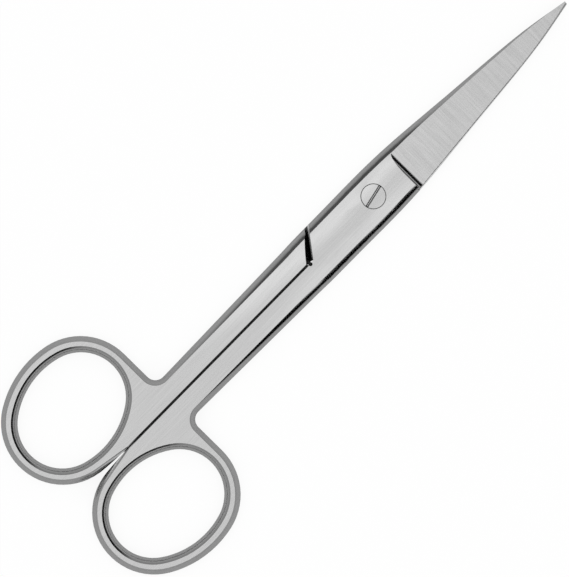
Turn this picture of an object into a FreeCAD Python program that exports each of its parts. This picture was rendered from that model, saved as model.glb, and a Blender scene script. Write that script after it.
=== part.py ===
# Operating scissors, 14.5 cm: two crossed halves with finger rings and a slotted pivot screw.
import FreeCAD, Part
import Sketcher
import math
import os

# Driving dimensions in millimetres and degrees.
# X runs from the pivot to the tips, Y across the closed scissors, Z up from the table.
SIZES = [
    ("thickness", 4.2, "full height of the joint, the shanks and the rings"),
    ("lap_clearance", 0.06, "running gap between the two lapped inner faces"),
    ("parting_gap", 0.26, "gap between the closed shanks and rings"),
    ("parting_bevel", 0.14, "broken edges of that gap"),
    ("pivot_offset", 0.3, "pivot axis off the centre line"),
    ("crown_radius", 42, "crown of the outer faces at the joint and the blades"),
    ("root_land", 0.9, "straight part of the shanks at the corners with the rings"),
    ("root_half_width", 5.02, "closed half width there"),
    ("root_rim", 1.1, "width of the round flanks there, and of the rings outside, from above"),
    ("joint_back", 21, "rear of the joint, behind the pivot"),
    ("joint_back_half_width", 5.585, "closed half width there"),
    ("joint_round", 1.7, "flank rounding of the joint and the blades"),
    ("joint_early", 12, "first joint station, behind the pivot"),
    ("joint_early_half_width", 5.69, "closed half width there"),
    ("joint_mid", 3, "middle of the joint, behind the pivot"),
    ("joint_mid_half_width", 5.76, "closed half width there"),
    ("joint_front", 7, "front of the joint, ahead of the pivot"),
    ("joint_front_half_width", 5.58, "closed half width there"),
    ("blade_early", 22.5, "first blade station, ahead of the pivot"),
    ("blade_early_half_width", 4.28, "closed half width there"),
    ("blade_late", 38, "second blade station, ahead of the pivot"),
    ("blade_late_half_width", 2.91, "closed half width there"),
    ("blade_fore", 48, "third blade station, ahead of the pivot"),
    ("blade_fore_half_width", 1.67, "closed half width there"),
    ("blade_fore_round", 1.45, "flank rounding there"),
    ("tip_front", 55.3, "tip of the blades, ahead of the pivot"),
    ("tip_half_width", 0.36, "closed half width there"),
    ("tip_round", 0.3, "flank rounding there"),
    ("bow_back", 73.7, "centre of the finger rings, behind the pivot"),
    ("bow_side", 13.45, "centre of the finger rings, off the centre line"),
    ("bow_tilt", 9.3, "long axis of the finger rings, turned outwards to the front"),
    ("bow_half_length", 15.63, "outer half length of a ring"),
    ("bow_half_width", 13.16, "outer half width of a ring"),
    ("bow_end_step", 0.58, "outer radius of a ring at its two ends, less than its half width"),
    ("bow_lead_angle", 10, "slope at which a ring runs into its shank"),
    ("bow_relief_back", 71.8, "start of the relief between the rings, behind the pivot"),
    ("bow_relief_radius", 60, "curve of that relief"),
    ("bow_end_wall", 3.26, "width of a ring at its two ends"),
    ("bow_side_wall", 3.34, "width of a ring at its sides"),
    ("hole_end_step", 0.75, "radius of a finger opening at its two ends, less than its half width"),
    ("hole_rim", 1.28, "width of the round rim of the finger openings, from above"),
    ("crotch_radius", 2.2, "corner between a ring and its shank, seen from above"),
    ("shoulder_back", 17.64, "lap shoulder at the centre line, behind the pivot"),
    ("shoulder_angle", 52.3, "lap shoulder, turned from the centre line"),
    ("shoulder_gap", 0.92, "gap between a lap shoulder and the plate in front of it"),
    ("shoulder_bevel_width", 0.62, "bevel on the outer edge of a lap shoulder, from above"),
    ("shoulder_bevel_depth", 0.36, "depth of that bevel"),
    ("shoulder_foot", 0.8, "concave radius at the foot of a lap shoulder"),
    ("relief_radius", 0.42, "relief notch in the inner corner of the lap"),
    ("relief_back", 18.7, "centre of the relief notch, behind the pivot"),
    ("relief_side", 0.25, "centre of the relief notch, off the centre line"),
    ("ground_start", 7.65, "shoulder where the blade grinding starts, ahead of the pivot"),
    ("ground_tilt", 9.8, "slope of the ground face, down to the cutting edge"),
    ("ground_height", 1.22, "ground face above the parting plane, at the centre line"),
    ("ground_runout", 1.2, "concave radius at the foot of the grinding shoulder"),
    ("ground_belly", 6000, "lengthwise curve of the ground face"),
    ("edge_start_half_width", 5.36, "cutting edge off the centre line at the grinding shoulder"),
    ("edge_late_half_width", 2.8, "cutting edge off the centre line at the second station"),
    ("edge_tip_radius", 135, "forward curve of the cutting edge"),
    ("bevel_angle", 16, "cutting bevel, turned from upright"),
    ("bevel_height", 1.6, "reach of the cutting bevel, past the ground face everywhere"),
    ("hollow_radius", 60, "hollow grinding of the inner face"),
    ("hollow_depth", 0.13, "depth of the hollow grinding at its rear end"),
    ("hollow_start", 9.5, "rear end of the hollow grinding, ahead of the pivot"),
    ("hollow_end", 51, "point where the hollow grinding fades out, ahead of the pivot"),
    ("head_radius", 2.5, "screw head"),
    ("head_height", 1.0, "screw head"),
    ("head_clearance", 0.07, "gap round the screw head"),
    ("neck_radius", 1.7, "plain neck of the screw, in the upper half"),
    ("neck_clearance", 0.03, "running clearance round the neck, and under the head"),
    ("thread_radius", 1.3, "threaded end of the screw, in the lower half"),
    ("thread_clearance", 0.01, "clearance round the threaded end"),
    ("rim_break", 0.06, "broken edges of the screw head and of its counterbore"),
    ("slot_width", 0.62, "driver slot, round at the bottom"),
    ("slot_depth", 0.55, "driver slot"),
    ("slot_angle", 12.3, "driver slot, turned from the centre line"),
]

# Overshoot of cuts that run past the material.
CLEAR = 3

# Stock round the rings, which the round rims are cut from, and how far that cut runs past it.
RIM_STOCK = 0.5
RIM_PAST = 0.3

# How far the profile of that cut stands out of the flat faces.
RIM_OVER = 0.05

# How far the ring runs past the parting line, and the cut of its rim past the shank root.
BOW_PAST = 1

# Stock on the screw head, which is ground off flush with the crown of the joint.
HEAD_STOCK = 0.5

# Direction in which the round flanks of the root section are divided, from level.
FLANK_SPLIT = 3


def make_sheet(doc):
    """Write every driving dimension into the sheet under its alias."""
    sheet = doc.addObject("Spreadsheet::Sheet", "Sizes")
    for row, (alias, value, meaning) in enumerate(SIZES, start=1):
        sheet.set(f"A{row}", alias)
        sheet.set(f"B{row}", str(value))
        sheet.set(f"C{row}", meaning)
        sheet.setAlias(f"B{row}", alias)
    doc.recompute()
    return sheet


class Size:
    """A length or angle as an expression on the sheet, with its present value."""

    def __init__(self, text, value):
        self.text = text
        self.value = value

    def _with(self, other, sign, result):
        other = as_size(other)
        return Size(f"({self.text} {sign} {other.text})", result(self.value, other.value))

    def __add__(self, other):
        return self._with(other, "+", lambda a, b: a + b)

    def __radd__(self, other):
        return as_size(other) + self

    def __sub__(self, other):
        return self._with(other, "-", lambda a, b: a - b)

    def __rsub__(self, other):
        return as_size(other) - self

    def __mul__(self, other):
        return self._with(other, "*", lambda a, b: a * b)

    def __rmul__(self, other):
        return as_size(other) * self

    def __truediv__(self, other):
        return self._with(other, "/", lambda a, b: a / b)

    def __neg__(self):
        return Size(f"(0 - {self.text})", -self.value)


def as_size(value):
    return value if isinstance(value, Size) else Size(str(value), value)


def cosine(angle):
    return Size(f"cos({angle.text})", math.cos(math.radians(angle.value)))


def sine(angle):
    return Size(f"sin({angle.text})", math.sin(math.radians(angle.value)))


def tangent(angle):
    return Size(f"tan({angle.text})", math.tan(math.radians(angle.value)))


class Sheet:
    """Reads a driving dimension by its alias: sizes.thickness and so on."""

    def __init__(self, sheet):
        self._sheet = sheet

    def __getattr__(self, alias):
        return Size(f"{self._sheet.Name}.{alias}", float(self._sheet.get(alias)))


class Outline:
    """A sketch on an origin plane of its body, held by sizes from the sheet."""

    START, END, CENTRE = 1, 2, 3

    def __init__(self, body, name, plane, shift=None, turn_axis=None, turn=None):
        self.sketch = body.newObject("Sketcher::SketchObject", name)
        support = next(part for part in body.Origin.OriginFeatures if part.Role == plane)
        self.sketch.AttachmentSupport = [(support, "")]
        self.sketch.MapMode = "FlatFace"
        axis = FreeCAD.Vector(*(turn_axis or (0, 0, 1)))
        angle = turn.value if turn else 0
        base = FreeCAD.Vector(*[as_size(part).value for part in (shift or (0, 0, 0))])
        self.sketch.AttachmentOffset = FreeCAD.Placement(base, FreeCAD.Rotation(axis, angle))
        for letter, part in zip("xyz", shift or ()):
            if isinstance(part, Size):
                self.sketch.setExpression(f"AttachmentOffset.Base.{letter}", part.text)
        if turn:
            self.sketch.setExpression("AttachmentOffset.Rotation.Angle", turn.text)
        self.names = 0

    def line(self, start, end):
        points = [FreeCAD.Vector(as_size(x).value, as_size(y).value) for x, y in (start, end)]
        return self.sketch.addGeometry(Part.LineSegment(*points))

    def arc(self, centre, radius, first, last):
        """An arc anticlockwise between two directions, given in degrees."""
        middle = FreeCAD.Vector(as_size(centre[0]).value, as_size(centre[1]).value)
        circle = Part.Circle(middle, FreeCAD.Vector(0, 0, 1), as_size(radius).value)
        return self.sketch.addGeometry(
            Part.ArcOfCircle(circle, math.radians(first), math.radians(last)))

    def circle(self, centre, radius):
        middle = FreeCAD.Vector(as_size(centre[0]).value, as_size(centre[1]).value)
        disc = self.sketch.addGeometry(
            Part.Circle(middle, FreeCAD.Vector(0, 0, 1), as_size(radius).value))
        self.at(disc, self.CENTRE, *centre)
        self.radius(disc, radius)
        return disc

    def rule(self, *values):
        return self.sketch.addConstraint(Sketcher.Constraint(*values))

    def measure(self, kind, references, size):
        """A dimension that follows an expression on the sheet."""
        size = as_size(size)
        self.names += 1
        label = f"size{self.names}"
        index = self.rule(kind, *references, size.value)
        self.sketch.renameConstraint(index, label)
        self.sketch.setExpression(f"Constraints.{label}", size.text)

    def at(self, shape, point, x=None, y=None):
        """Hold a point at x and y from the origin of the sketch."""
        for value, kind, axis in ((x, "DistanceX", -2), (y, "DistanceY", -1)):
            if isinstance(value, (int, float)) and value == 0:
                self.rule("PointOnObject", shape, point, axis)
            elif value is not None:
                self.measure(kind, (-1, 1, shape, point), value)

    def radius(self, shape, size):
        self.measure("Radius", (shape,), size)

    def smooth(self, first, first_point, second, second_point):
        self.rule("Tangent", first, first_point, second, second_point)

    def meet(self, first, first_point, second, second_point):
        self.rule("Coincident", first, first_point, second, second_point)

    def level(self, *lines):
        for shape in lines:
            self.rule("Horizontal", shape)

    def upright(self, *lines):
        for shape in lines:
            self.rule("Vertical", shape)

    def polygon(self, corners):
        """A closed polygon with every corner held."""
        lines = [self.line(corner, corners[(place + 1) % len(corners)])
                 for place, corner in enumerate(corners)]
        for place, shape in enumerate(lines):
            self.meet(shape, self.END, lines[(place + 1) % len(lines)], self.START)
            self.at(shape, self.START, *corners[place])
        return lines


def check_sketch(doc, sketch):
    """A sketch has to solve with no freedom and no conflict left."""
    doc.recompute()
    if sketch.solve() != 0:
        raise RuntimeError(f"{sketch.Name} doesn't solve")


def cut(body, name, outline, **settings):
    """A pocket that has to take material away."""
    doc = body.Document
    check_sketch(doc, outline.sketch)
    before = body.Tip.Shape.Volume
    pocket = body.newObject("PartDesign::Pocket", name)
    pocket.Profile = outline.sketch
    for key, value in settings.items():
        if isinstance(value, Size):
            pocket.setExpression(key, value.text)
        else:
            setattr(pocket, key, value)
    doc.recompute()
    if not pocket.Shape.Volume < before - 1e-4:
        raise RuntimeError(f"{name} cuts nothing")
    return pocket


def side_radius(half_length, half_width, end_radius):
    """Side radius of a four-centre oval with the given half axes and end radius."""
    top = half_length * half_length + half_width * half_width - 2 * half_length * end_radius
    return top / (2 * (half_width - end_radius))


def bow_point(sizes, along, across):
    """A point in the axes of the finger ring, as x and y of the upper half."""
    x = along * cosine(sizes.bow_tilt) + across * sine(sizes.bow_tilt) - sizes.bow_back
    y = across * cosine(sizes.bow_tilt) - along * sine(sizes.bow_tilt) - sizes.bow_side
    return x, y


def flank_radius(sizes, rim):
    """Radius of a flank rounded from face to face, from its width seen from above."""
    half = sizes.thickness / 2
    return (rim * rim + half * half) / (2 * rim)


def bow_frame(sizes):
    """Sizes of the outer oval of a ring: end and side radius, and the centres of its arcs."""
    end_radius = sizes.bow_half_width - sizes.bow_end_step
    end_reach = sizes.bow_half_length - end_radius
    side = side_radius(sizes.bow_half_length, sizes.bow_half_width, end_radius)
    side_reach = side - sizes.bow_half_width
    spread = math.degrees(math.atan2(end_reach.value, side_reach.value))
    rear = bow_point(sizes, -end_reach, as_size(0))
    front = bow_point(sizes, end_reach, as_size(0))
    far = bow_point(sizes, as_size(0), side_reach)
    return end_radius, side, spread, rear, front, far


def root_place(sizes):
    """Where the shank starts at the ring, as x."""
    end_radius, _, _, _, front, _ = bow_frame(sizes)
    return front[0] + end_radius + sizes.crotch_radius + sizes.root_land


def bow_outline(body, sizes, name, stock, closed):
    """Ring, web and root of the shank in plan, with stock round them.

    Closed, it is what the ring is forged from, and reaches past the parting line.
    Open, it is the line that the round rim follows, at half height."""
    height = as_size(0) if closed else sizes.thickness / 2
    plan = Outline(body, name, "XY_Plane", shift=(0, 0, height))
    end_radius, side, spread, rear, front, far = bow_frame(sizes)
    tilt = sizes.bow_tilt.value
    lead = sizes.bow_lead_angle
    over = sizes.root_rim + sizes.parting_gap + BOW_PAST
    root_x = root_place(sizes)
    start_x = root_x if closed else root_x + BOW_PAST
    flank_y = -sizes.root_half_width - stock
    ends = end_radius + stock

    rear_arc = plan.arc(rear, ends, 90 + lead.value, 270 - tilt - spread)
    far_arc = plan.arc(far, side + stock, 270 - tilt - spread, 270 - tilt + spread)
    front_arc = plan.arc(front, ends, 270 - tilt + spread, 360)
    crotch_x = front[0] + end_radius + sizes.crotch_radius
    crotch_y = -sizes.root_half_width - sizes.crotch_radius
    web_x = front[0] + ends
    web = plan.line((web_x, front[1]), (web_x, crotch_y))
    crotch = plan.arc((crotch_x, crotch_y), sizes.crotch_radius - stock, 90, 180)
    flank = plan.line((crotch_x, flank_y), (start_x, flank_y))
    lead_x = rear[0] - ends * sine(lead)
    lead_y = rear[1] + ends * cosine(lead)
    lead_end = lead_x + (over - lead_y) / tangent(lead)
    run_in = plan.line((lead_end, over), (lead_x, lead_y))

    plan.smooth(rear_arc, plan.END, far_arc, plan.START)
    plan.smooth(far_arc, plan.END, front_arc, plan.START)
    plan.smooth(front_arc, plan.END, web, plan.START)
    plan.smooth(web, plan.END, crotch, plan.END)
    plan.smooth(crotch, plan.START, flank, plan.START)
    plan.smooth(run_in, plan.END, rear_arc, plan.START)
    plan.at(rear_arc, plan.CENTRE, *rear)
    plan.at(front_arc, plan.CENTRE, *front)
    plan.radius(rear_arc, ends)
    plan.radius(front_arc, ends)
    plan.radius(far_arc, side + stock)
    plan.radius(crotch, sizes.crotch_radius - stock)
    plan.upright(web)
    plan.level(flank)
    plan.at(flank, plan.END, start_x, flank_y)
    plan.at(run_in, plan.START, lead_end, over)
    if closed:
        root = plan.line((start_x, flank_y), (start_x, over))
        inner = plan.line((start_x, over), (lead_end, over))
        plan.meet(flank, plan.END, root, plan.START)
        plan.meet(root, plan.END, inner, plan.START)
        plan.meet(inner, plan.END, run_in, plan.START)
        plan.upright(root)
        plan.level(inner)
    check_sketch(body.Document, plan.sketch)
    return plan


def finger_opening(body, sizes, name, stock, height):
    """The oval through a finger ring, less the stock, from the front end of its long axis."""
    plan = Outline(body, name, "XY_Plane", shift=(0, 0, height))
    tilt = sizes.bow_tilt.value
    half_length = sizes.bow_half_length - sizes.bow_end_wall
    half_width = sizes.bow_half_width - sizes.bow_side_wall
    end_radius = half_width - sizes.hole_end_step
    end_reach = half_length - end_radius
    side = side_radius(half_length, half_width, end_radius)
    side_reach = side - half_width
    spread = math.degrees(math.atan2(end_reach.value, side_reach.value))
    rear = bow_point(sizes, -end_reach, as_size(0))
    front = bow_point(sizes, end_reach, as_size(0))
    near = bow_point(sizes, as_size(0), -side_reach)
    far = bow_point(sizes, as_size(0), side_reach)
    ends = end_radius - stock
    sides = side - stock
    arcs = [
        plan.arc(front, ends, -tilt, 90 - tilt - spread),
        plan.arc(near, sides, 90 - tilt - spread, 90 - tilt + spread),
        plan.arc(rear, ends, 90 - tilt + spread, 270 - tilt - spread),
        plan.arc(far, sides, 270 - tilt - spread, 270 - tilt + spread),
        plan.arc(front, ends, 270 - tilt + spread, 360 - tilt),
    ]
    for place, shape in enumerate(arcs[:-1]):
        plan.smooth(shape, plan.END, arcs[place + 1], plan.START)
    plan.meet(arcs[4], plan.END, arcs[0], plan.START)
    plan.at(arcs[0], plan.CENTRE, *front)
    plan.at(arcs[2], plan.CENTRE, *rear)
    plan.meet(arcs[4], plan.CENTRE, arcs[0], plan.CENTRE)
    for shape, size in zip(arcs, (ends, sides, ends, sides)):
        plan.radius(shape, size)
    tip = bow_point(sizes, half_length - stock, as_size(0))
    plan.at(arcs[0], plan.START, tip[0], None)
    check_sketch(body.Document, plan.sketch)
    return plan


def rim_profile(body, sizes, rim, reach, **place):
    """Section of what is cut away round a rim: a round flank, with its apex at the reach.

    The material lies on the side of the larger x."""
    profile = Outline(body, **place)
    radius = flank_radius(sizes, rim)
    top = sizes.thickness
    middle = top / 2
    over = as_size(RIM_OVER)
    turn = math.degrees(math.asin((middle + over).value / radius.value))
    across = math.sqrt(radius.value ** 2 - (middle + over).value ** 2)
    side = reach - RIM_STOCK - RIM_PAST
    corner_x = (reach + radius).value - across
    flank = profile.arc((reach + radius, middle), radius, 180 - turn, 180 + turn)
    under = profile.line((corner_x, -over), (side, -over))
    beside = profile.line((side, -over), (side, top + over))
    above = profile.line((side, top + over), (corner_x, top + over))
    profile.meet(flank, profile.END, under, profile.START)
    profile.meet(under, profile.END, beside, profile.START)
    profile.meet(beside, profile.END, above, profile.START)
    profile.meet(above, profile.END, flank, profile.START)
    profile.at(flank, profile.CENTRE, reach + radius, middle)
    profile.radius(flank, radius)
    profile.level(under, above)
    profile.upright(beside)
    profile.at(beside, profile.START, side, -over)
    profile.at(beside, profile.END, None, top + over)
    check_sketch(body.Document, profile.sketch)
    return profile


def round_rim(body, name, profile, path):
    """Cut a round rim along its path; it has to take material away."""
    before = body.Tip.Shape.Volume
    sweep = body.newObject("PartDesign::SubtractivePipe", name)
    sweep.Profile = profile.sketch
    sweep.Spine = path.sketch
    sweep.Mode = "Binormal"
    sweep.Binormal = FreeCAD.Vector(0, 0, 1)
    body.Document.recompute()
    if not sweep.Shape.Volume < before - 1e-4:
        raise RuntimeError(f"{name} cuts nothing")


def root_section(body, sizes):
    """Cross-section of the closed bar at the roots of the shanks.

    Its flanks are round from face to face, each in three arcs, as many as the joint has."""
    ring = Outline(body, "RootSection", "YZ_Plane", shift=(0, 0, root_place(sizes)))
    top = sizes.thickness
    radius = flank_radius(sizes, sizes.root_rim)
    middle = top / 2
    centre = sizes.root_half_width - radius
    turn = math.degrees(math.asin(middle.value / radius.value))
    inset = sizes.root_half_width - sizes.root_rim
    split = radius * math.sin(math.radians(FLANK_SPLIT))
    right = [ring.arc((centre, middle), radius, first, last)
             for first, last in ((-turn, -FLANK_SPLIT), (-FLANK_SPLIT, FLANK_SPLIT),
                                 (FLANK_SPLIT, turn))]
    upper = ring.line((inset, top), (-inset, top))
    left = [ring.arc((-centre, middle), radius, 180 + first, 180 + last)
            for first, last in ((-turn, -FLANK_SPLIT), (-FLANK_SPLIT, FLANK_SPLIT),
                                (FLANK_SPLIT, turn))]
    lower = ring.line((-inset, 0), (inset, 0))
    loop = [*right, upper, *left, lower]
    for place, shape in enumerate(loop):
        ring.meet(shape, ring.END, loop[(place + 1) % len(loop)], ring.START)
    for side, place, sign in ((right, centre, 1), (left, -centre, -1)):
        ring.at(side[0], ring.CENTRE, place, middle)
        ring.radius(side[0], radius)
        ring.meet(side[1], ring.CENTRE, side[0], ring.CENTRE)
        ring.meet(side[2], ring.CENTRE, side[0], ring.CENTRE)
        ring.at(side[0], ring.END, None, middle - sign * split)
        ring.at(side[1], ring.END, None, middle + sign * split)
    ring.level(upper, lower)
    ring.at(upper, ring.START, None, top)
    ring.at(lower, ring.START, None, 0)
    check_sketch(body.Document, ring.sketch)
    return ring.sketch


def bar_section(body, sizes, name, x, half_width, rounding):
    """Cross-section of the closed bar: rounded flanks between two crowned outer faces."""
    ring = Outline(body, name, "YZ_Plane", shift=(0, 0, x))
    top = sizes.thickness
    crown = sizes.crown_radius
    inset = half_width - rounding
    lean = math.degrees(math.asin(inset.value / (crown - rounding).value))
    drop = (crown - rounding) * (1 - math.cos(math.radians(lean)))
    low = rounding + drop
    high = top - rounding - drop
    right = ring.line((half_width, low), (half_width, high))
    right_top = ring.arc((inset, high), rounding, 0, 90 - lean)
    left_top = ring.arc((-inset, high), rounding, 90 + lean, 180)
    left = ring.line((-half_width, high), (-half_width, low))
    left_low = ring.arc((-inset, low), rounding, 180, 270 - lean)
    right_low = ring.arc((inset, low), rounding, 270 + lean, 360)
    upper = ring.arc((0, top - crown), crown, 90 - lean, 90 + lean)
    lower = ring.arc((0, crown), crown, 270 - lean, 270 + lean)
    ring.at(upper, ring.CENTRE, 0, top - crown)
    ring.at(lower, ring.CENTRE, 0, crown)
    ring.radius(upper, crown)
    ring.radius(lower, crown)
    loop = [right, right_top, upper, left_top, left, left_low, lower, right_low]
    for place, shape in enumerate(loop):
        ring.smooth(shape, ring.END, loop[(place + 1) % len(loop)], ring.START)
    ring.upright(right, left)
    ring.at(right, ring.START, half_width, None)
    ring.at(left, ring.START, -half_width, None)
    for shape in (right_top, left_top, left_low, right_low):
        ring.radius(shape, rounding)
    check_sketch(body.Document, ring.sketch)
    return ring.sketch


def loft(body, name, sections, ruled=False):
    """Skin a row of sections into one bar, straight or smooth between them."""
    feature = body.newObject("PartDesign::AdditiveLoft", name)
    feature.Profile = sections[0]
    feature.Sections = sections[1:]
    feature.Ruled = ruled
    body.Document.recompute()
    return feature


def make_blank(body, sizes):
    """Forged blank of one half: ring, web and shank root, then the whole bar to the tip."""
    doc = body.Document
    stock = as_size(RIM_STOCK)
    ring = body.newObject("PartDesign::Pad", "Bow")
    ring.Profile = bow_outline(body, sizes, "BowOutline", stock, True).sketch
    ring.setExpression("Length", sizes.thickness.text)
    doc.recompute()
    cut(body, "FingerHole", finger_opening(body, sizes, "FingerHoleOutline", stock, as_size(0)),
        Type="ThroughAll", Midplane=True)

    half_length = sizes.bow_half_length - sizes.bow_end_wall
    inside = rim_profile(body, sizes, sizes.hole_rim, half_length, name="HoleRimProfile",
                         plane="XZ_Plane", shift=(-sizes.bow_back, 0, sizes.bow_side),
                         turn_axis=(0, 1, 0), turn=-sizes.bow_tilt)
    opening = finger_opening(body, sizes, "FingerOpening", as_size(0), sizes.thickness / 2)
    round_rim(body, "HoleRim", inside, opening)
    outside = rim_profile(body, sizes, sizes.root_rim, -sizes.root_half_width,
                          name="BowRimProfile", plane="YZ_Plane",
                          shift=(0, 0, root_place(sizes) + BOW_PAST))
    round_rim(body, "BowRim", outside, bow_outline(body, sizes, "BowPath", as_size(0), False))

    rear_section = bar_section(body, sizes, "ShankEndSection", -sizes.joint_back,
                               sizes.joint_back_half_width, sizes.joint_round)
    loft(body, "Shank", [root_section(body, sizes), rear_section], ruled=True)

    stations = [
        ("JointRear", -sizes.joint_back, sizes.joint_back_half_width, sizes.joint_round),
        ("JointEarly", -sizes.joint_early, sizes.joint_early_half_width, sizes.joint_round),
        ("JointMid", -sizes.joint_mid, sizes.joint_mid_half_width, sizes.joint_round),
        ("JointFront", sizes.joint_front, sizes.joint_front_half_width, sizes.joint_round),
        ("BladeEarly", sizes.blade_early, sizes.blade_early_half_width, sizes.joint_round),
        ("BladeLate", sizes.blade_late, sizes.blade_late_half_width, sizes.joint_round),
        ("BladeFore", sizes.blade_fore, sizes.blade_fore_half_width, sizes.blade_fore_round),
        ("Tip", sizes.tip_front, sizes.tip_half_width, sizes.tip_round),
    ]
    sections = [bar_section(body, sizes, f"{name}Section", x, half_width, rounding)
                for name, x, half_width, rounding in stations]
    loft(body, "JointAndBlade", sections)


def cut_lap(body, sizes):
    """Take away what belongs to the other half, and leave the lap shoulder."""
    slope = tangent(sizes.shoulder_angle)
    side = sizes.joint_back_half_width + CLEAR
    half_gap = sizes.parting_gap / 2
    rear = -sizes.bow_back - sizes.bow_half_length - CLEAR
    plate_end = -sizes.shoulder_back

    beside = Outline(body, "BesideShank", "XY_Plane")
    relief_x = -sizes.bow_relief_back
    bend = sizes.bow_relief_radius
    reach = math.asin((relief_x - rear).value / bend.value)
    fall = bend.value * (1 - math.cos(reach))
    corner = (plate_end - half_gap / slope, -half_gap)
    relief = beside.arc((relief_x, -half_gap - bend), bend, 90, 90 + math.degrees(reach))
    straight = beside.line((relief_x, -half_gap), corner)
    slant = beside.line(corner, (plate_end + side / slope, side))
    above = beside.line((plate_end + side / slope, side), (rear, side))
    behind = beside.line((rear, side), (rear, -half_gap - fall))
    beside.smooth(relief, beside.START, straight, beside.START)
    beside.meet(straight, beside.END, slant, beside.START)
    beside.meet(slant, beside.END, above, beside.START)
    beside.meet(above, beside.END, behind, beside.START)
    beside.meet(behind, beside.END, relief, beside.END)
    beside.at(relief, beside.CENTRE, relief_x, -half_gap - bend)
    beside.radius(relief, bend)
    beside.at(slant, beside.START, *corner)
    beside.at(slant, beside.END, plate_end + side / slope, side)
    beside.level(above)
    beside.upright(behind)
    beside.at(above, beside.END, rear, None)
    cut(body, "PartingCut", beside, Type="ThroughAll", Midplane=True)

    shank_end = plate_end - sizes.shoulder_gap / sine(sizes.shoulder_angle)
    front = sizes.tip_front + sizes.shoulder_back + CLEAR
    inner_face = sizes.thickness / 2 + sizes.lap_clearance / 2
    foot = sizes.shoulder_foot
    across = dict(plane="XZ_Plane", shift=(shank_end, 0, 0), turn_axis=(0, 1, 0),
                  turn=90 - sizes.shoulder_angle)
    under = Outline(body, "LapSection", **across)
    wall = under.line((0, -CLEAR), (0, inner_face - foot))
    hollow = under.arc((foot, inner_face - foot), foot, 90, 180)
    face = under.line((foot, inner_face), (front, inner_face))
    ahead = under.line((front, inner_face), (front, -CLEAR))
    below = under.line((front, -CLEAR), (0, -CLEAR))
    under.smooth(wall, under.END, hollow, under.END)
    under.smooth(hollow, under.START, face, under.START)
    under.meet(face, under.END, ahead, under.START)
    under.meet(ahead, under.END, below, under.START)
    under.meet(below, under.END, wall, under.START)
    under.upright(wall, ahead)
    under.level(face, below)
    under.at(wall, under.START, 0, -CLEAR)
    under.radius(hollow, foot)
    under.at(face, under.END, front, inner_face)
    cut(body, "LapCut", under, Type="ThroughAll", Midplane=True)

    notch = Outline(body, "ReliefNotch", "XY_Plane")
    notch.circle((-sizes.relief_back, -sizes.relief_side), sizes.relief_radius)
    cut(body, "CornerRelief", notch, Type="ThroughAll", Midplane=True)

    bevel = Outline(body, "ShoulderBevelSection", **across)
    width = sizes.shoulder_bevel_width
    depth = sizes.shoulder_bevel_depth
    past = sizes.shoulder_gap
    drop = past * depth / width
    bevel.polygon([(-width - past, -drop), (past, -drop), (past, depth + drop)])
    cut(body, "ShoulderBevel", bevel, Type="ThroughAll", Midplane=True)

    edges = Outline(body, "PartingBevelSections", "YZ_Plane", shift=(0, 0, -sizes.relief_back))
    width = sizes.parting_bevel
    past = sizes.parting_gap
    top = sizes.thickness
    inside = -half_gap - width - past
    outside = -half_gap + past
    edges.polygon([(inside, -past), (outside, -past), (outside, width + past)])
    edges.polygon([(inside, top + past), (outside, top - width - past), (outside, top + past)])
    cut(body, "PartingBevels", edges, Type="Length", Length=sizes.bow_back - sizes.relief_back)


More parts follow.
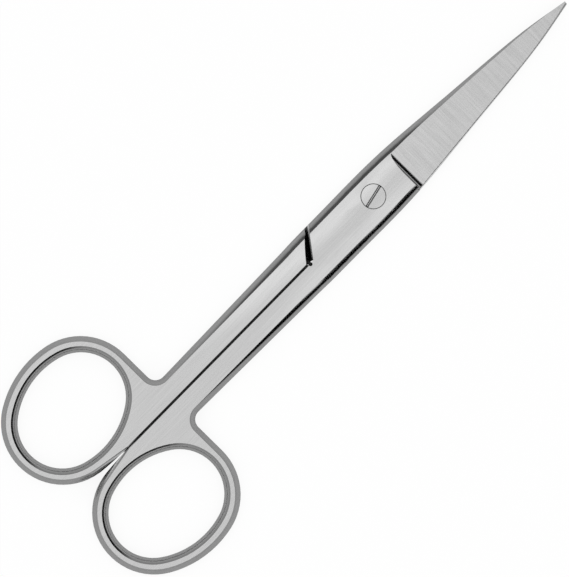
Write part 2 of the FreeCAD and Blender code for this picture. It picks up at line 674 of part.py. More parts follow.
def grind_blade(body, sizes):
    """Outer ground face with its shoulder, cutting bevel and hollow inner face."""
    inner_face = sizes.thickness / 2 + sizes.lap_clearance / 2
    front = sizes.tip_front + CLEAR

    face = Outline(body, "GroundFaceSection", "XZ_Plane", shift=(0, inner_face, 0),
                   turn_axis=(1, 0, 0), turn=sizes.ground_tilt)
    high = sizes.thickness
    level = sizes.ground_height * cosine(sizes.ground_tilt)
    runout = sizes.ground_runout
    belly = sizes.ground_belly
    foot_x = sizes.ground_start + runout
    fall = belly.value - math.sqrt(belly.value ** 2 - (front - foot_x).value ** 2)
    wall = face.line((sizes.ground_start, high), (sizes.ground_start, level + runout))
    foot = face.arc((foot_x, level + runout), runout, 180, 270)
    turn = math.degrees(math.asin((front - foot_x).value / belly.value))
    ground = face.arc((foot_x, level - belly), belly, 90 - turn, 90)
    end = face.line((front, level - fall), (front, high))
    top = face.line((front, high), (sizes.ground_start, high))
    face.smooth(wall, face.END, foot, face.START)
    face.smooth(foot, face.END, ground, face.END)
    face.meet(ground, face.START, end, face.START)
    face.meet(end, face.END, top, face.START)
    face.meet(top, face.END, wall, face.START)
    face.upright(wall, end)
    face.level(top)
    face.at(wall, face.START, sizes.ground_start, high)
    face.radius(foot, runout)
    face.radius(ground, belly)
    face.at(ground, face.CENTRE, foot_x, level - belly)
    face.at(end, face.START, front, None)
    cut(body, "GroundFace", face, Type="ThroughAll", Midplane=True)

    edge = Outline(body, "CuttingEdge", "XY_Plane", shift=(0, 0, inner_face))
    side = sizes.joint_front_half_width + CLEAR
    start = (sizes.ground_start, -sizes.edge_start_half_width)
    late = (sizes.blade_late, -sizes.edge_late_half_width)
    heading = math.atan2((late[1] - start[1]).value, (late[0] - start[0]).value)
    bend = sizes.edge_tip_radius.value
    centre = (late[0].value - bend * math.sin(heading), late[1].value + bend * math.cos(heading))
    sweep = math.asin((front.value - centre[0]) / bend)
    straight = edge.line(start, late)
    curved = edge.arc(centre, bend, math.degrees(heading) - 90, math.degrees(sweep) - 90)
    exit_y = centre[1] - bend * math.cos(sweep)
    ahead = edge.line((front, exit_y), (front, -side))
    below = edge.line((front, -side), (sizes.ground_start, -side))
    behind = edge.line((sizes.ground_start, -side), start)
    edge.smooth(straight, edge.END, curved, edge.START)
    edge.meet(curved, edge.END, ahead, edge.START)
    edge.meet(ahead, edge.END, below, edge.START)
    edge.meet(below, edge.END, behind, edge.START)
    edge.meet(behind, edge.END, straight, edge.START)
    edge.at(straight, edge.START, *start)
    edge.at(straight, edge.END, *late)
    edge.radius(curved, sizes.edge_tip_radius)
    edge.upright(ahead, behind)
    edge.level(below)
    edge.at(below, edge.START, front, -side)
    cut(body, "CuttingBevel", edge, Type="Length", Reversed=True,
        Length=sizes.bevel_height, TaperAngle=sizes.bevel_angle)

    fade = math.degrees(math.atan2(sizes.hollow_depth.value,
                                   (sizes.hollow_end - sizes.hollow_start).value))
    hollow = Outline(body, "HollowSection", "YZ_Plane",
                     shift=(0, inner_face, sizes.hollow_start),
                     turn_axis=(1, 0, 0), turn=Size(
                         f"atan({sizes.hollow_depth.text} / "
                         f"({sizes.hollow_end.text} - {sizes.hollow_start.text}))", fade))
    hollow.circle((0, sizes.hollow_depth - sizes.hollow_radius), sizes.hollow_radius)
    cut(body, "HollowGrinding", hollow, Type="Length", Reversed=True,
        Length=sizes.tip_front - sizes.hollow_start + CLEAR)


def break_rim(body, name, sharp, radius, foot, sizes):
    """Break the upper edge of a round wall that stands on the given height."""
    wall = next(face for face in sharp.Shape.Faces
                if face.Surface.TypeId == "Part::GeomCylinder"
                and abs(face.Surface.Radius - radius.value) < 1e-6)
    rim = [f"Edge{number}" for number, edge in enumerate(sharp.Shape.Edges, start=1)
           if edge.BoundBox.ZMin > foot.value + sizes.head_height.value / 2
           and any(edge.isSame(side) for side in wall.Edges)
           and not edge.isSeam(wall)]
    broken = body.newObject("PartDesign::Chamfer", name)
    broken.Base = (sharp, rim)
    broken.setExpression("Size", sizes.rim_break.text)
    body.Document.recompute()


def bore_upper(body, sizes):
    """Running hole for the neck of the screw, and the counterbore for its head."""
    hole = Outline(body, "NeckHoleCircle", "XY_Plane")
    hole.circle((0, sizes.pivot_offset), sizes.neck_radius + sizes.neck_clearance)
    cut(body, "NeckHole", hole, Type="ThroughAll", Midplane=True)
    seat = sizes.thickness - sizes.head_height - sizes.neck_clearance
    bore = Outline(body, "CounterboreCircle", "XY_Plane", shift=(0, 0, seat))
    bore_radius = sizes.head_radius + sizes.head_clearance
    bore.circle((0, sizes.pivot_offset), bore_radius)
    sharp = cut(body, "Counterbore", bore, Type="Length", Reversed=True,
                Length=sizes.head_height + CLEAR)
    break_rim(body, "CounterboreRim", sharp, bore_radius, seat, sizes)


def bore_lower(body, sizes):
    """Tapped hole that holds the end of the screw."""
    hole = Outline(body, "TappedHoleCircle", "XY_Plane")
    hole.circle((0, -sizes.pivot_offset), sizes.thread_radius + sizes.thread_clearance)
    cut(body, "TappedHole", hole, Type="ThroughAll", Midplane=True)


def make_half(doc, sizes, label, bore):
    """One half, as it lies with its ring on the -Y side and its blade on top."""
    body = doc.addObject("PartDesign::Body", label)
    body.Label = label
    make_blank(body, sizes)
    cut_lap(body, sizes)
    grind_blade(body, sizes)
    bore(body, sizes)
    return body


def make_screw(doc, sizes):
    """Slotted pivot screw: flush head, plain neck, threaded end flush underneath."""
    body = doc.addObject("PartDesign::Body", "pivot_screw")
    body.Label = "pivot_screw"
    profile = Outline(body, "ScrewProfile", "XZ_Plane")
    lower_face = sizes.thickness / 2 - sizes.lap_clearance / 2
    under_head = sizes.thickness - sizes.head_height
    profile.polygon([
        (0, 0),
        (sizes.thread_radius, 0),
        (sizes.thread_radius, lower_face),
        (sizes.neck_radius, lower_face),
        (sizes.neck_radius, under_head),
        (sizes.head_radius, under_head),
        (sizes.head_radius, sizes.thickness + HEAD_STOCK),
        (0, sizes.thickness + HEAD_STOCK),
    ])
    check_sketch(doc, profile.sketch)
    turned = body.newObject("PartDesign::Revolution", "Turned")
    turned.Profile = profile.sketch
    turned.ReferenceAxis = (profile.sketch, ["V_Axis"])
    turned.Angle = 360
    doc.recompute()

    slot = Outline(body, "SlotSection", "YZ_Plane", turn_axis=(0, 1, 0), turn=sizes.slot_angle)
    half = sizes.slot_width / 2
    bottom = sizes.thickness - sizes.slot_depth + half
    past = sizes.thickness + CLEAR
    floor = slot.arc((0, bottom), half, 180, 360)
    right = slot.line((half, bottom), (half, past))
    top = slot.line((half, past), (-half, past))
    left = slot.line((-half, past), (-half, bottom))
    slot.smooth(floor, slot.END, right, slot.START)
    slot.meet(right, slot.END, top, slot.START)
    slot.meet(top, slot.END, left, slot.START)
    slot.smooth(left, slot.END, floor, slot.START)
    slot.upright(right, left)
    slot.level(top)
    slot.at(floor, slot.CENTRE, 0, bottom)
    slot.radius(floor, half)
    slot.at(top, slot.START, None, past)
    cut(body, "DriverSlot", slot, Type="ThroughAll", Midplane=True)

    crown = Outline(body, "HeadCrownSection", "YZ_Plane")
    reach = sizes.head_radius + CLEAR
    centre = (-sizes.pivot_offset, sizes.thickness - sizes.crown_radius)
    lean = math.degrees(math.asin(reach.value / sizes.crown_radius.value))
    rise = centre[1].value + sizes.crown_radius.value * math.cos(math.radians(lean))
    first = centre[0] + reach
    last = centre[0] - reach
    face = crown.arc(centre, sizes.crown_radius, 90 - lean, 90 + lean)
    near = crown.line((last, rise), (last, past))
    above = crown.line((last, past), (first, past))
    far = crown.line((first, past), (first, rise))
    crown.meet(face, crown.END, near, crown.START)
    crown.meet(near, crown.END, above, crown.START)
    crown.meet(above, crown.END, far, crown.START)
    crown.meet(far, crown.END, face, crown.START)
    crown.at(face, crown.CENTRE, *centre)
    crown.radius(face, sizes.crown_radius)
    crown.upright(near, far)
    crown.level(above)
    crown.at(above, crown.START, last, past)
    crown.at(above, crown.END, first, None)
    sharp = cut(body, "HeadCrown", crown, Type="ThroughAll", Midplane=True)
    break_rim(body, "HeadRim", sharp, sizes.head_radius, under_head, sizes)

    body.setExpression("Placement.Base.y", sizes.pivot_offset.text)
    return body


def check_document(doc):
    for item in doc.Objects:
        if {"Invalid", "Error"} & set(item.State):
            raise RuntimeError(f"{item.Name} failed: {item.State}")


def main():
    doc = FreeCAD.newDocument("OperatingScissors")
    sizes = Sheet(make_sheet(doc))
    upper = make_half(doc, sizes, "upper_half", bore_upper)
    lower = make_half(doc, sizes, "lower_half", bore_lower)
    # The lower half is the same forging turned over about the parting line.
    lower.Placement = FreeCAD.Placement(FreeCAD.Vector(0, 0, sizes.thickness.value),
                                        FreeCAD.Rotation(FreeCAD.Vector(1, 0, 0), 180))
    lower.setExpression("Placement.Base.z", sizes.thickness.text)
    screw = make_screw(doc, sizes)
    doc.recompute()
    check_document(doc)
    os.makedirs("parts", exist_ok=True)
    for body in (upper, lower, screw):
        shape = body.Shape
        if shape.isNull() or not shape.isValid() or len(shape.Solids) != 1:
            raise RuntimeError(f"{body.Label} isn't one valid solid")
        shape.exportStep(os.path.join("parts", f"{body.Label}.step"))
        box = shape.BoundBox
        print(f"{body.Label}: {shape.Volume:.1f} mm3, {box.XLength:.2f} x {box.YLength:.2f}"
              f" x {box.ZLength:.2f} mm, {len(shape.Faces)} faces")


main()
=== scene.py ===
import math

import bmesh
import bpy
from bpy.props import FloatProperty, FloatVectorProperty, PointerProperty
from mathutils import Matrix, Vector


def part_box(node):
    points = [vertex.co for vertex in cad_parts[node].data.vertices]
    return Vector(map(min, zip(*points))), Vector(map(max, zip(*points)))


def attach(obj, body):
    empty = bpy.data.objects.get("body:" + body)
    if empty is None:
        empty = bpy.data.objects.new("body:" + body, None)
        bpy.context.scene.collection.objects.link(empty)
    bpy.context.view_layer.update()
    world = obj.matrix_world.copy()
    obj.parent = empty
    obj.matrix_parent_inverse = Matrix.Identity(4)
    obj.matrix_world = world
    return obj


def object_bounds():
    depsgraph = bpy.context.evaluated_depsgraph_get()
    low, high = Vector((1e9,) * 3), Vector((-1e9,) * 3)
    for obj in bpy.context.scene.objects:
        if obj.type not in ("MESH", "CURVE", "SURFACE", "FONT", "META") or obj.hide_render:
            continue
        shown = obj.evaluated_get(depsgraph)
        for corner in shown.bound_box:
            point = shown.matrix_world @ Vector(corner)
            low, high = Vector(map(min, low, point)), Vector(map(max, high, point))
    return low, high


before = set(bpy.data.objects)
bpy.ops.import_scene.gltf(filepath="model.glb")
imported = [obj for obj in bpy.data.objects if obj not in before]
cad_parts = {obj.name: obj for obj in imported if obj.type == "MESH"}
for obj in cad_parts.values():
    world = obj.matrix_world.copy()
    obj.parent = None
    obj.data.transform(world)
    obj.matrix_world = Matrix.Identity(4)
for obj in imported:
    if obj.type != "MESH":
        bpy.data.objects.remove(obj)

bl_info = {
    "name": "Operating scissors",
    "version": (1, 0, 0),
    "blender": (4, 5, 0),
    "location": "3D View > Sidebar > Scissors",
    "description": "Steel finishes and the photo stage for a pair of operating scissors",
    "category": "Object",
}

CAD_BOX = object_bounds()
MM = 0.001
WHITE = (1, 1, 1)

# The photograph that the camera repeats: its frame and its view of the pivot, in pixels.
PHOTO_WIDTH = 569
PHOTO_HEIGHT = 577
PIVOT_ACROSS = 374.3
PIVOT_DOWN = 197.52
SENSOR = 36.0

# Height of the lapped faces between the two halves, read from the frame.
MID_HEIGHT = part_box("upper_half")[1].z / 2

# The relief notches where the laps end, as the CAD cuts them, and their blind bottoms, near black
# as painted shade.
NOTCH_BACK = 18.7 * MM
NOTCH_SIDE = 0.25 * MM
NOTCH_RADIUS = 0.42 * MM
NOTCH_FLOOR = 0.12 * MM
NOTCH_DEPTH = 0.25 * MM
NOTCH_SEGMENTS = 24
NOTCH_ROUGHNESS = 0.8

# From here on, a pair of numbers tells where a change begins and where it is complete.

# Ground steel, on the sloping blade faces and the lapped faces: fine and coarse lines. The
# coarse ones are a number of times wider and longer.
GROUND_ONSET = 1.5 * MM
GROUND_FACING = (0.994, 0.998)
LAPPED_BAND = (0.2 * MM, 0.35 * MM)
COARSE_WIDTH = 4
COARSE_LENGTH = 2
COARSE_SEED = 7
FINE_STREAK = 0.38
COARSE_STREAK = 0.2

# Satined steel elsewhere: faint lines along the scissors, in colour, gloss and height.
SATIN_LENGTH = 9 * MM
SATIN_WIDTH = 0.3 * MM
SATIN_STREAK = 0.25
SATIN_GLOSS = 0.05
SATIN_HEIGHT = 0.5
BUMP_STRENGTH = 0.6
NOISE_DETAIL = 3.0
NOISE_ROUGHNESS = 0.6

# Painted shade: places closed in by other steel are darkened in colour: how far off it counts,
# and how open they have to be.
CORNER_SHADE_REACH = 2.5 * MM
CORNER_SHADE_OPEN = (0.15, 0.45)
SHADE_SAMPLES = 8

# Painted shade along the parting line of the shanks, over its bevel: its two sides and its two
# ends.
PARTING_SHADE_INSIDE = (0.02 * MM, 0.1 * MM)
PARTING_SHADE_OUTSIDE = (0.26 * MM, 0.34 * MM)
PARTING_SHADE_BACK = (-72 * MM, -68 * MM)
PARTING_SHADE_FRONT = (-19.3 * MM, -18.9 * MM)
PARTING_SHADE_STRENGTH = 0.92

# Turned steel of the screw, with painted shade in its slot and along the edge of its head.
TURNED_LENGTH = 2 * MM
TURNED_WIDTH = 0.25 * MM
TURNED_STREAK = 0.1
TURNED_GLOSS = 0.08
SLOT_SHADE_REACH = 0.3 * MM
SLOT_SHADE_OPEN = (0.45, 1)

# The floor: painted shade in the slit between the shanks, with a faint painted shadow round the
# scissors.
FLOOR_RADIUS = 2.8
FLOOR_SEGMENTS = 96
SLIT_REACH = 0.4 * MM
SLIT_OPEN = (0.5, 0.8)
SLIT_SAMPLES = 16
CONTACT_REACH = 6 * MM
CONTACT_OPEN = (0, 0.9)
CONTACT_SAMPLES = 4
CONTACT_SHADE = 0.1

# The studio dome, with the softbox overhead. The edges of the softbox are in degrees from
# straight up: towards -Y and +Y, towards the tips and the rings, and towards the black cloth.
DOME_RADIUS = 3.0
DOME_SEGMENTS = 96
DOME_RINGS = 64
BOX_RIGHT = (-36, -30)
BOX_LEFT = (8, 19)
BOX_TIPS = (33, 47)
BOX_RINGS = (36, 54)
BOX_CORNER = (20, 28)
BOX_LEVEL = 1.04

# The softbox is a little darker along a strip and brighter on its left.
STRIP_PLACE = -1
STRIP_EDGE = (3, 6)
STRIP_SHADE = 0.2
LEFT_EDGE = (2, 7)
LEFT_GAIN = 0.2

# The cloth round it brightens downwards and is black on one side; a band of light stands low.
# Their heights go from 0 overhead to 1 at the floor.
CLOTH_LEVEL = 0.09
CLOTH_GAIN = 0.24
CLOTH_EDGE = (0.28, 0.65)
BLACK_SIDE = (0.5, -0.866, 0.0)
BLACK_EDGE = (0.1, 0.5)
RIM_EDGE = (0.7, 0.8)

# The lamp that lights what isn't mirrored: in metres and watts.
LAMP_LENGTH = 1.6
LAMP_WIDTH = 0.8
LAMP_HEIGHT = 1.2
LAMP_POWER = 10


class ScissorsFinish(bpy.types.PropertyGroup):
    """Colours and grain of the steel."""

    steel: FloatVectorProperty(
        name="Steel", description="Colour of the bare steel",
        subtype="COLOR", default=(0.66, 0.66, 0.66), min=0, max=1)
    satin: FloatProperty(
        name="Satin roughness", description="Roughness of the forged and satined outside",
        default=0.17, min=0, max=1)
    ground: FloatProperty(
        name="Ground roughness", description="Roughness of the ground blade faces",
        default=0.22, min=0, max=1)
    grain_width: FloatProperty(
        name="Grain width", description="Width of one grinding line on the blades",
        subtype="DISTANCE", unit="LENGTH", default=0.25 * MM, min=0.02 * MM)
    grain_length: FloatProperty(
        name="Grain length", description="Length of one grinding line on the blades",
        subtype="DISTANCE", unit="LENGTH", default=6 * MM, min=0.1 * MM)
    grain_depth: FloatProperty(
        name="Grain depth", description="Depth of the grinding lines",
        subtype="DISTANCE", unit="LENGTH", default=0.0008 * MM, min=0)
    ground_start: FloatProperty(
        name="Grinding start", description="Start of the blade grinding, ahead of the pivot",
        subtype="DISTANCE", unit="LENGTH", default=7.65 * MM)
    ground_tilt: FloatProperty(
        name="Grinding slope", description="Slope of the ground face towards the cutting edge",
        subtype="ANGLE", unit="ROTATION", default=math.radians(9.8))


class ScissorsNotch(bpy.types.PropertyGroup):
    """The blind bottoms of the relief notches, near black as painted shade."""

    radius: FloatProperty(
        name="Radius", description="Radius of the notch bottom",
        subtype="DISTANCE", unit="LENGTH", default=NOTCH_RADIUS, min=0.1 * MM)
    thickness: FloatProperty(
        name="Thickness", description="Thickness of the notch bottom",
        subtype="DISTANCE", unit="LENGTH", default=NOTCH_FLOOR, min=0.05 * MM)
    depth: FloatProperty(
        name="Depth", description="Distance of the notch bottom from the lapped faces",
        subtype="DISTANCE", unit="LENGTH", default=NOTCH_DEPTH, min=0)
    # Painted shade: this grey stands for the shadow at the notch bottom.
    grey: FloatProperty(
        name="Grey", description="Grey of the soiled notch bottom",
        default=0.03, min=0, max=1)


class ScissorsStage(bpy.types.PropertyGroup):
    """Camera, floor and light of the photo stage."""

    turn: FloatProperty(
        name="Turn", description="Direction of the blades in the picture, above its right side",
        subtype="ANGLE", unit="ROTATION", default=math.radians(45.47))
    pixel: FloatProperty(
        name="Pixel", description="Size of one pixel of the picture on the scissors",
        subtype="DISTANCE", unit="LENGTH", default=0.2025 * MM, min=0.01 * MM)
    lens: FloatProperty(
        name="Lens", description="Focal length of the camera",
        subtype="DISTANCE_CAMERA", unit="CAMERA", default=400, min=10)
    floor: FloatVectorProperty(
        name="Floor", description="Colour of the floor",
        subtype="COLOR", default=(0.32, 0.32, 0.32), min=0, max=1)
    floor_glow: FloatProperty(
        name="Floor glow", description="Share of plain white in the floor as the camera sees it",
        subtype="FACTOR", default=0.99, min=0, max=1)
    sky: FloatProperty(
        name="Sky", description="Strength of the plain white surroundings",
        default=0.8, min=0)
    box_light: FloatProperty(
        name="Softbox", description="Brightness of the softbox overhead in the steel",
        default=0.97, min=0)
    rim_light: FloatProperty(
        name="Rim light", description="Brightness of the light band low round the scissors",
        default=0.4, min=0)


class Value:
    """A number in a node tree; sums of values add the Math nodes that work them out."""

    def __init__(self, graph, socket):
        self.graph = graph
        self.socket = socket

    def _math(self, operation, *numbers):
        sockets = dict(enumerate(numbers))
        return self.graph.node("Math", {"operation": operation}, sockets)

    def __add__(self, other):
        return self._math("ADD", self, other)

    def __radd__(self, other):
        return self._math("ADD", other, self)

    def __sub__(self, other):
        return self._math("SUBTRACT", self, other)

    def __rsub__(self, other):
        return self._math("SUBTRACT", other, self)

    def __mul__(self, other):
        return self._math("MULTIPLY", self, other)

    def __rmul__(self, other):
        return self._math("MULTIPLY", other, self)

    def __truediv__(self, other):
        return self._math("DIVIDE", self, other)

    def __abs__(self):
        return self._math("ABSOLUTE", self)

    def most(self, other):
        """The greater of two values."""
        return self._math("MAXIMUM", self, other)

    def degrees(self, other):
        """The angle of a right triangle with this side opposite and the other beside it."""
        return self._math("ARCTAN2", self, other) * math.degrees(1)

    def rise(self, low, high):
        """0 below low, 1 above high and a smooth step between."""
        sockets = {"Value": self, "From Min": low, "From Max": high}
        return self.graph.node("MapRange", {"interpolation_type": "SMOOTHSTEP"}, sockets)


class Graph:
    """The node tree of one material."""

    def __init__(self, material):
        material.use_nodes = True
        self.tree = material.node_tree
        self.tree.nodes.clear()

    def node(self, kind, settings=None, sockets=None, output=0):
        """Add a node: its settings first, then the values or links of its sockets."""
        made = self.tree.nodes.new("ShaderNode" + kind)
        for name, value in (settings or {}).items():
            setattr(made, name, value)
        for key, value in (sockets or {}).items():
            if isinstance(value, Value):
                self.tree.links.new(value.socket, made.inputs[key])
            else:
                made.inputs[key].default_value = value
        return Value(self, made.outputs[output])

    def place(self):
        """The place on the object, in its own coordinates."""
        return self.node("TexCoord", output="Object")

    def axes(self, vector):
        """The three numbers of a vector."""
        return [self.node("SeparateXYZ", sockets={"Vector": vector}, output=axis)
                for axis in "XYZ"]

    def dot(self, one, other):
        """How far one vector goes along another."""
        return self.node("VectorMath", {"operation": "DOT_PRODUCT"}, {0: one, 1: other},
                         output="Value")

    def length(self, vector):
        return self.node("VectorMath", {"operation": "LENGTH"}, {0: vector}, output="Value")

    def openness(self, reach, samples):
        """How open a place is to its surroundings: 0 in a narrow gap, 1 in the open."""
        return self.node("AmbientOcclusion", {"samples": samples}, {"Distance": reach},
                         output="AO")

    def grain(self, place, along, across, seed=0):
        """Noise drawn out into lines: its size along X, and its size across it."""
        x, y, z = self.axes(place)
        stretched = self.node("CombineXYZ", sockets={
            "X": x / along, "Y": y / across, "Z": z / across + seed})
        return self.node("TexNoise", sockets={
            "Vector": stretched, "Scale": 1.0,
            "Detail": NOISE_DETAIL, "Roughness": NOISE_ROUGHNESS})

    def shade(self, grey, tint):
        """A colour that a number darkens or lightens."""
        return self.node("VectorMath", {"operation": "SCALE"},
                         {"Vector": tint, "Scale": grey})

    def glow(self, level):
        """White light of a level that may change over the surface."""
        return self.node("Emission", sockets={
            "Color": self.shade(level, WHITE), "Strength": 1.0})

    def finish(self, shader):
        """Give the material its surface."""
        surface = self.tree.nodes.new("ShaderNodeOutputMaterial").inputs["Surface"]
        self.tree.links.new(shader.socket, surface)


def half_steel(finish):
    """Steel of the two halves: satined outside, cross-ground blades and lapped faces, with
    painted shade in closed-in places and along the parting line.
    """
    material = bpy.data.materials.new("half_steel_finish")
    graph = Graph(material)
    place = graph.place()
    x, y, z = graph.axes(place)

    slope = (0, -math.sin(finish.ground_tilt), math.cos(finish.ground_tilt))
    facing = abs(graph.dot(graph.node("TexCoord", output="Normal"), slope))
    on_blade = x.rise(finish.ground_start, finish.ground_start + GROUND_ONSET)
    lapped = 1 - abs(z - MID_HEIGHT).rise(*LAPPED_BAND)
    ground = (facing.rise(*GROUND_FACING) * on_blade).most(lapped)

    fine = graph.grain(place, finish.grain_width, finish.grain_length)
    coarse = graph.grain(place, COARSE_WIDTH * finish.grain_width,
                         COARSE_LENGTH * finish.grain_length, COARSE_SEED)
    satin = graph.grain(place, SATIN_LENGTH, SATIN_WIDTH)
    streak = (fine - 0.5) * FINE_STREAK + (coarse - 0.5) * COARSE_STREAK
    brush = (satin - 0.5) * SATIN_STREAK
    grey = 1 + streak * ground + brush * (1 - ground)
    # Painted shade where other steel closes a place in.
    grey = grey * graph.openness(CORNER_SHADE_REACH, SHADE_SAMPLES).rise(*CORNER_SHADE_OPEN)

    # Painted shade along the parting line of the shanks, over its bevel.
    side = y * (z / MID_HEIGHT - 1)
    parting_shade = side.rise(*PARTING_SHADE_INSIDE) * (1 - side.rise(*PARTING_SHADE_OUTSIDE))
    parting_shade = parting_shade * x.rise(*PARTING_SHADE_BACK) * (1 - x.rise(*PARTING_SHADE_FRONT))
    grey = grey * (1 - PARTING_SHADE_STRENGTH * parting_shade)

    gloss = ground * (finish.ground - finish.satin) + (satin - 0.5) * SATIN_GLOSS
    height = fine * ground + satin * (1 - ground) * SATIN_HEIGHT
    bump = graph.node("Bump", sockets={
        "Strength": BUMP_STRENGTH, "Distance": finish.grain_depth, "Height": height})
    graph.finish(graph.node("BsdfPrincipled", sockets={
        "Base Color": graph.shade(grey, tuple(finish.steel)),
        "Metallic": 1.0,
        "Roughness": finish.satin + gloss,
        "Normal": bump,
    }))
    return material


def screw_steel(finish):
    """Steel of the screw: finely turned head, ground flush with the joint, with painted shade in
    its slot and along the edge of its head.
    """
    material = bpy.data.materials.new("screw_steel_finish")
    graph = Graph(material)
    turned = graph.grain(graph.place(), TURNED_LENGTH, TURNED_WIDTH) - 0.5
    # Painted shade in the slot and along the edge of the head.
    grey = (1 + turned * TURNED_STREAK) * graph.openness(
        SLOT_SHADE_REACH, SHADE_SAMPLES).rise(*SLOT_SHADE_OPEN)
    graph.finish(graph.node("BsdfPrincipled", sockets={
        "Base Color": graph.shade(grey, tuple(finish.steel)),
        "Metallic": 1.0,
        "Roughness": finish.satin + turned * TURNED_GLOSS,
    }))
    return material


def notch_shade_steel(notch):
    """Near-black matt steel of the notch bottoms, a painted shade where the notches lie in
    shadow.
    """
    material = bpy.data.materials.new("notch_painted_shade")
    graph = Graph(material)
    graph.finish(graph.node("BsdfPrincipled", sockets={
        "Base Color": (notch.grey, notch.grey, notch.grey, 1),
        "Metallic": 0.0,
        "Roughness": NOTCH_ROUGHNESS,
    }))
    return material


def floor_finish(stage):
    """Pale floor: plain white to the eye, with painted shade in the slits and a soft painted
    shadow of the scissors.
    """
    material = bpy.data.materials.new("pale_floor")
    graph = Graph(material)
    camera = graph.node("LightPath", output="Is Camera Ray")
    clear = graph.node("LightPath", output="Is Transmission Ray")
    share = camera.most(clear) * stage.floor_glow
    # Painted shade in the slits and a faint painted shadow round the scissors.
    slit = graph.openness(SLIT_REACH, SLIT_SAMPLES).rise(*SLIT_OPEN)
    contact = graph.openness(CONTACT_REACH, CONTACT_SAMPLES).rise(*CONTACT_OPEN)
    level = slit * ((1 - CONTACT_SHADE) + CONTACT_SHADE * contact)
    matt = graph.node("BsdfDiffuse", sockets={"Color": (*stage.floor, 1)})
    graph.finish(graph.node("MixShader", sockets={
        "Fac": share, 1: matt, 2: graph.glow(level)}))
    return material


def surround_finish(stage):
    """The studio as the steel mirrors it: a softbox overhead and grey cloth round it."""
    material = bpy.data.materials.new("studio_surround")
    graph = Graph(material)
    place = graph.place()
    x, y, z = graph.axes(place)
    left = y.degrees(z)
    ahead = x.degrees(z)
    black = graph.dot(place, BLACK_SIDE)

    box = BOX_LEVEL + LEFT_GAIN * left.rise(*LEFT_EDGE)
    box = box - STRIP_SHADE * (1 - abs(left - STRIP_PLACE).rise(*STRIP_EDGE))
    box = box * left.rise(*BOX_RIGHT) * (1 - left.rise(*BOX_LEFT))
    box = box * (1 - ahead.rise(*BOX_TIPS)) * (1 - (0 - ahead).rise(*BOX_RINGS))
    box = box * (1 - black.degrees(z).rise(*BOX_CORNER)) * stage.box_light

    flat = graph.node("CombineXYZ", sockets={"X": x, "Y": y, "Z": 0.0})
    low = 1 - z / graph.length(place)
    cloth = CLOTH_LEVEL + CLOTH_GAIN * low.rise(*CLOTH_EDGE)
    cloth = cloth * (1 - (black / graph.length(flat)).rise(*BLACK_EDGE))
    rim = low.rise(*RIM_EDGE) * stage.rim_light
    graph.finish(graph.glow(box.most(cloth).most(rim)))
    return material


def dress(node, material):
    """Give a CAD node its finish in every material slot."""
    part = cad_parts[node]
    for slot in part.material_slots:
        slot.material = material


def add_mesh(name, shape, material):
    """Turn a shape into an object of the scene."""
    mesh = bpy.data.meshes.new(name)
    shape.to_mesh(mesh)
    shape.free()
    mesh.materials.append(material)
    made = bpy.data.objects.new(name, mesh)
    bpy.context.scene.collection.objects.link(made)
    return made


class SCISSORS_OT_halves(bpy.types.Operator):
    """Finish the two halves in satined and ground steel"""

    bl_idname = "scissors.halves"
    bl_label = "Finish the halves"

    def execute(self, context):
        material = half_steel(context.scene.scissors_finish)
        for node in ("upper_half", "lower_half"):
            dress(node, material)
        return {"FINISHED"}


class SCISSORS_OT_screw(bpy.types.Operator):
    """Finish the pivot screw in turned steel"""

    bl_idname = "scissors.screw"
    bl_label = "Finish the screw"

    def execute(self, context):
        dress("pivot_screw", screw_steel(context.scene.scissors_finish))
        return {"FINISHED"}


class SCISSORS_OT_notches(bpy.types.Operator):
    """Close the relief notch of each half beside its lapped face"""

    bl_idname = "scissors.notches"
    bl_label = "Close the notches"

    def execute(self, context):
        notch = context.scene.scissors_notch
        # The notch bottoms are near-black discs of painted shade.
        material = notch_shade_steel(notch)
        for body, side in (("upper", -1), ("lower", 1)):
            height = MID_HEIGHT - side * (notch.depth + notch.thickness / 2)
            disc = bmesh.new()
            bmesh.ops.create_cone(
                disc, cap_ends=True, segments=NOTCH_SEGMENTS, depth=notch.thickness,
                radius1=notch.radius, radius2=notch.radius)
            centre = (-NOTCH_BACK, side * NOTCH_SIDE, height)
            bmesh.ops.translate(disc, vec=centre, verts=disc.verts)
            made = add_mesh(body + "_notch_bottom", disc, material)
            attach(made, body)
        return {"FINISHED"}


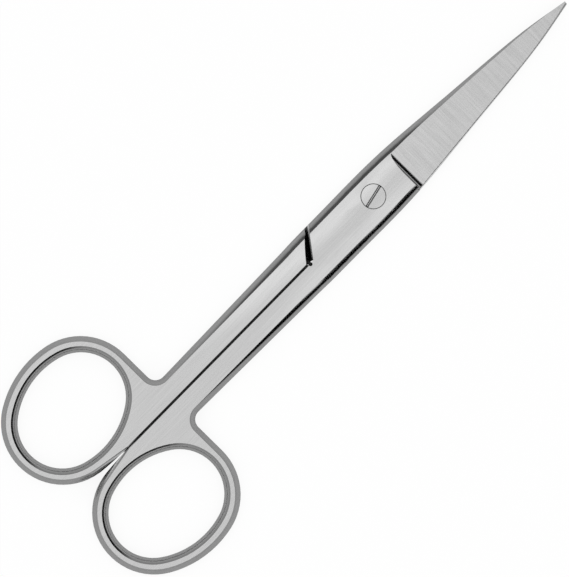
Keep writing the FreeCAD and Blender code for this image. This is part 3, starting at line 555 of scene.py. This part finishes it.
class SCISSORS_OT_stage(bpy.types.Operator):
    """Set up the pale floor, the studio light and the camera of the photograph"""

    bl_idname = "scissors.stage"
    bl_label = "Set the stage"

    def execute(self, context):
        stage = context.scene.scissors_stage
        self.floor(stage)
        self.surround(stage)
        self.sky(context, stage)
        self.lamp(context)
        self.camera(context, stage)
        context.scene.view_settings.view_transform = "Standard"
        return {"FINISHED"}

    def floor(self, stage):
        sheet = bmesh.new()
        bmesh.ops.create_circle(
            sheet, cap_ends=True, radius=FLOOR_RADIUS, segments=FLOOR_SEGMENTS)
        bmesh.ops.translate(sheet, vec=(0, 0, CAD_BOX[0].z), verts=sheet.verts)
        add_mesh("floor", sheet, floor_finish(stage))

    def surround(self, stage):
        """A dome that only reflections see."""
        dome = bmesh.new()
        bmesh.ops.create_uvsphere(
            dome, u_segments=DOME_SEGMENTS, v_segments=DOME_RINGS, radius=DOME_RADIUS)
        bmesh.ops.reverse_faces(dome, faces=dome.faces)
        made = add_mesh("surround", dome, surround_finish(stage))
        made.visible_camera = False
        made.visible_diffuse = False
        made.visible_shadow = False

    def sky(self, context, stage):
        world = bpy.data.worlds.new("studio")
        world.use_nodes = True
        background = world.node_tree.nodes["Background"]
        background.inputs["Color"].default_value = (*WHITE, 1)
        background.inputs["Strength"].default_value = stage.sky
        context.scene.world = world

    def lamp(self, context):
        light = bpy.data.lights.new("overhead", "AREA")
        light.shape = "RECTANGLE"
        light.size = LAMP_LENGTH
        light.size_y = LAMP_WIDTH
        light.energy = LAMP_POWER
        lamp = bpy.data.objects.new("overhead", light)
        lamp.location = (0, 0, LAMP_HEIGHT)
        lamp.visible_camera = False
        lamp.visible_glossy = False
        context.scene.collection.objects.link(lamp)

    def camera(self, context, stage):
        """Straight down, with the pivot where the photograph has it."""
        right = (PHOTO_WIDTH / 2 - PIVOT_ACROSS) * stage.pixel
        up = (PIVOT_DOWN - PHOTO_HEIGHT / 2) * stage.pixel
        turn = -stage.turn
        x = right * math.cos(turn) - up * math.sin(turn)
        y = right * math.sin(turn) + up * math.cos(turn)
        data = bpy.data.cameras.new("camera")
        data.lens = stage.lens
        data.sensor_width = SENSOR
        distance = stage.pixel * stage.lens * max(PHOTO_WIDTH, PHOTO_HEIGHT) / SENSOR
        camera = bpy.data.objects.new("camera", data)
        camera.location = (x, y, MID_HEIGHT + distance)
        camera.rotation_euler = (0, 0, turn)
        context.scene.collection.objects.link(camera)
        context.scene.camera = camera


class SCISSORS_PT_sidebar(bpy.types.Panel):
    """Finishes and stage of the scissors"""

    bl_idname = "SCISSORS_PT_sidebar"
    bl_label = "Operating scissors"
    bl_space_type = "VIEW_3D"
    bl_region_type = "UI"
    bl_category = "Scissors"

    def draw(self, context):
        scene = context.scene
        for group in (scene.scissors_finish, scene.scissors_notch, scene.scissors_stage):
            box = self.layout.box()
            for name in group.__annotations__:
                box.prop(group, name)
        for operator in OPERATORS:
            self.layout.operator(operator.bl_idname)


OPERATORS = (SCISSORS_OT_halves, SCISSORS_OT_screw, SCISSORS_OT_notches, SCISSORS_OT_stage)
CLASSES = (ScissorsFinish, ScissorsNotch, ScissorsStage, *OPERATORS, SCISSORS_PT_sidebar)


def register():
    for item in CLASSES:
        bpy.utils.register_class(item)
    bpy.types.Scene.scissors_finish = PointerProperty(type=ScissorsFinish)
    bpy.types.Scene.scissors_notch = PointerProperty(type=ScissorsNotch)
    bpy.types.Scene.scissors_stage = PointerProperty(type=ScissorsStage)


def unregister():
    del bpy.types.Scene.scissors_stage
    del bpy.types.Scene.scissors_notch
    del bpy.types.Scene.scissors_finish
    for item in reversed(CLASSES):
        bpy.utils.unregister_class(item)


def main():
    register()
    bpy.ops.scissors.halves()
    bpy.ops.scissors.screw()
    bpy.ops.scissors.notches()
    bpy.ops.scissors.stage()


if __name__ == "__main__":
    main()
